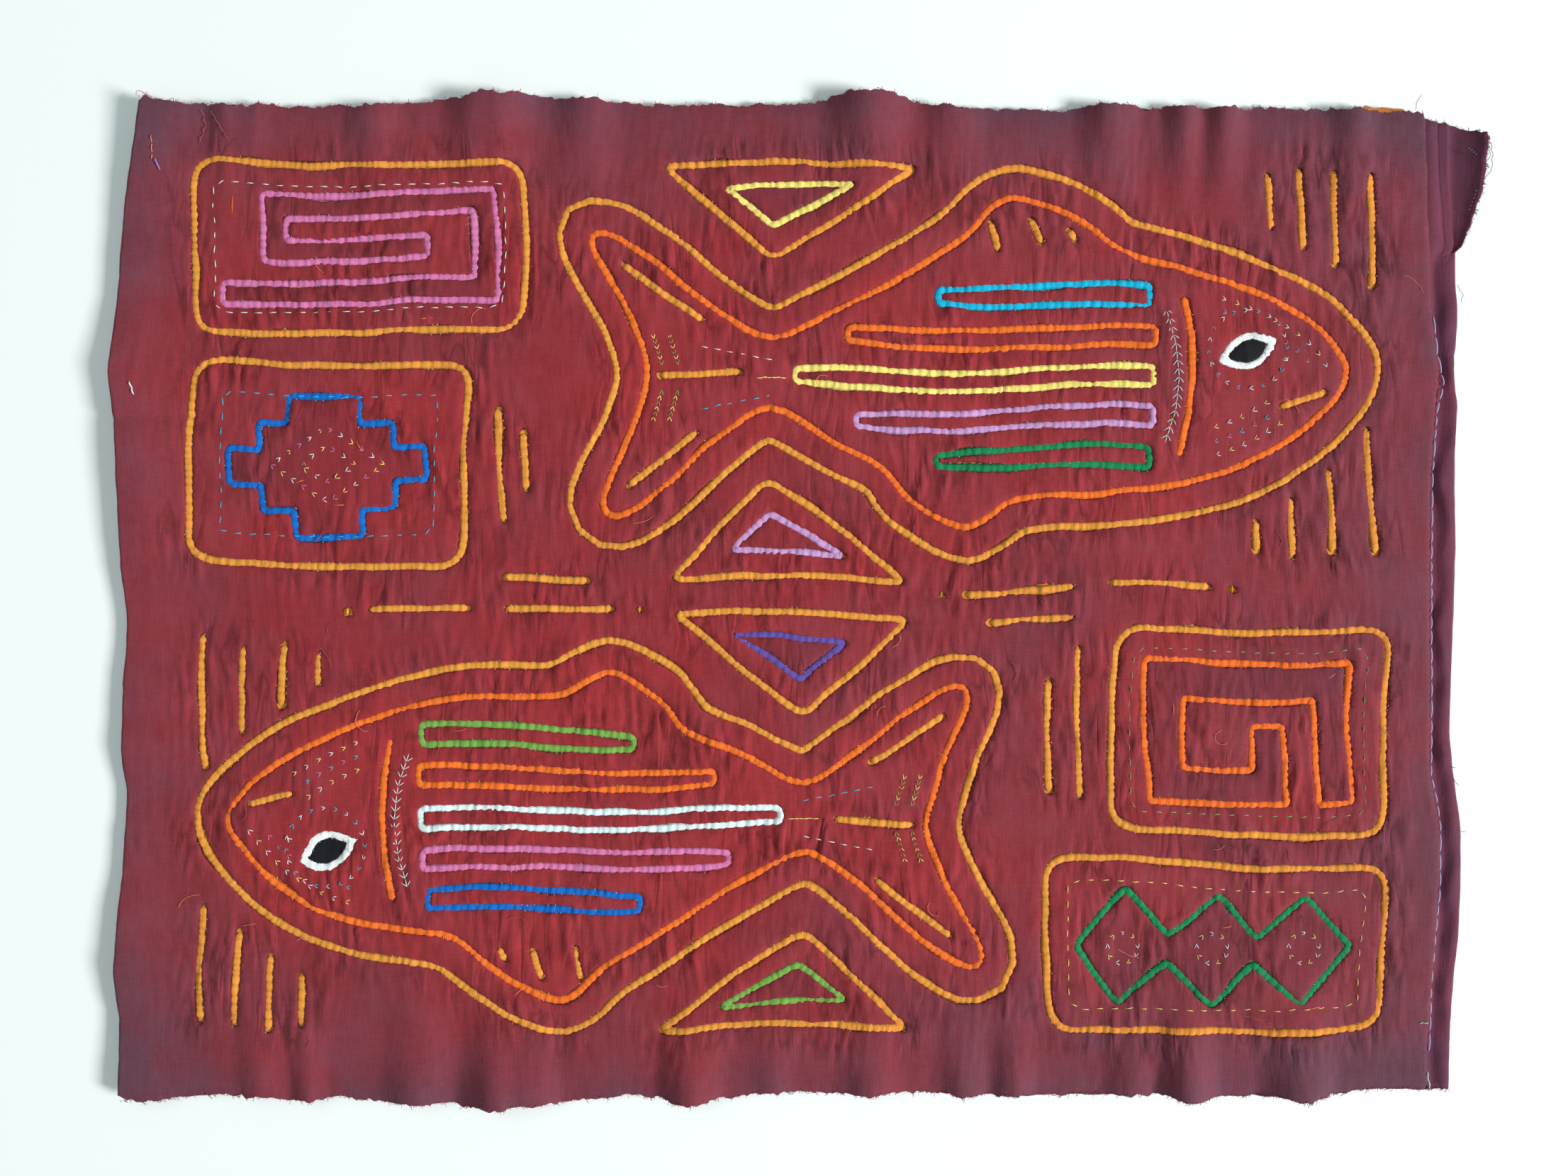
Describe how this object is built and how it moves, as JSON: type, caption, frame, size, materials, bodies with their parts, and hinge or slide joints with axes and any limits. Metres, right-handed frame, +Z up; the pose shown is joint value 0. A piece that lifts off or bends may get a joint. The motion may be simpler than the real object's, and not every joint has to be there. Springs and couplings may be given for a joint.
{
  "type": "mola panel",
  "caption": "Cut-through layered cotton blouse panel lying flat, with two fish, hooked blocks and triangles in coloured lines, turned side hems and a loose corner flap.",
  "frame": {"origin": "middle of the panel's box, on the surface that it lies on", "axes": "+X along the long side, towards the side with the corner flap; +Y towards the edge beside that flap; +Z up, out of the worked face"},
  "size_m": [0.4325, 0.3179, 0.0107],
  "materials": {
    "red_cotton": "matte woven cotton, plain dyed",
    "amber_cotton": "matte woven cotton, plain dyed",
    "orange_cotton": "matte woven cotton, plain dyed",
    "turquoise_cotton": "matte woven cotton, plain dyed",
    "yellow_cotton": "matte woven cotton, plain dyed",
    "lilac_cotton": "matte woven cotton, plain dyed",
    "green_cotton": "matte woven cotton, plain dyed",
    "white_cotton": "matte woven cotton, plain dyed",
    "black_cotton": "matte woven cotton, plain dyed",
    "blue_cotton": "matte woven cotton, plain dyed",
    "pink_cotton": "matte woven cotton, plain dyed",
    "ice_cotton": "matte woven cotton, plain dyed",
    "leaf_cotton": "matte woven cotton, plain dyed",
    "core_cotton": "matte woven cotton, plain dyed",
    "purple_cotton": "matte woven cotton, plain dyed"
  },
  "bodies": {
    "root": {"base_cloth": "red_cotton", "amber_cloth": "amber_cotton", "top_cloth": "red_cotton", "upper_fish_band": "red_cotton", "upper_fish_outline": "orange_cotton", "upper_fish_bar_1_line": "turquoise_cotton", "upper_fish_bar_1": "red_cotton", "upper_fish_bar_2_line": "orange_cotton", "upper_fish_bar_2": "red_cotton", "upper_fish_bar_3_line": "yellow_cotton", "upper_fish_bar_3": "red_cotton", "upper_fish_bar_4_line": "lilac_cotton", "upper_fish_bar_4": "red_cotton", "upper_fish_bar_5_line": "green_cotton", "upper_fish_bar_5": "red_cotton", "upper_fish_gill": "orange_cotton", "upper_fish_eye_white": "white_cotton", "upper_fish_eye_black": "black_cotton", "upper_fish_body": "red_cotton", "lower_fish_band": "red_cotton", "lower_fish_outline": "orange_cotton", "lower_fish_bar_1_line": "blue_cotton", "lower_fish_bar_1": "red_cotton", "lower_fish_bar_2_line": "pink_cotton", "lower_fish_bar_2": "red_cotton", "lower_fish_bar_3_line": "ice_cotton", "lower_fish_bar_3": "red_cotton", "lower_fish_bar_4_line": "orange_cotton", "lower_fish_bar_4": "red_cotton", "lower_fish_bar_5_line": "leaf_cotton", "lower_fish_bar_5": "red_cotton", "lower_fish_gill": "orange_cotton", "lower_fish_eye_white": "white_cotton", "lower_fish_eye_black": "black_cotton", "lower_fish_body": "red_cotton", "spiral_block_band": "red_cotton", "spiral_block_line": "pink_cotton", "spiral_block_core": "core_cotton", "cross_block_band": "red_cotton", "cross_block_line": "blue_cotton", "cross_block_core": "core_cotton", "chain_block_band": "red_cotton", "chain_block_line": "green_cotton", "chain_block_core": "core_cotton", "hook_block_band": "red_cotton", "hook_block_line": "orange_cotton", "hook_block_core": "core_cotton", "triangle_1_band": "red_cotton", "triangle_1_line": "yellow_cotton", "triangle_1_core": "core_cotton", "triangle_2_band": "red_cotton", "triangle_2_line": "lilac_cotton", "triangle_2_core": "core_cotton", "triangle_3_band": "red_cotton", "triangle_3_line": "leaf_cotton", "triangle_3_core": "core_cotton", "triangle_4_band": "red_cotton", "triangle_4_line": "purple_cotton", "triangle_4_core": "core_cotton"}
  },
  "joints": []
}
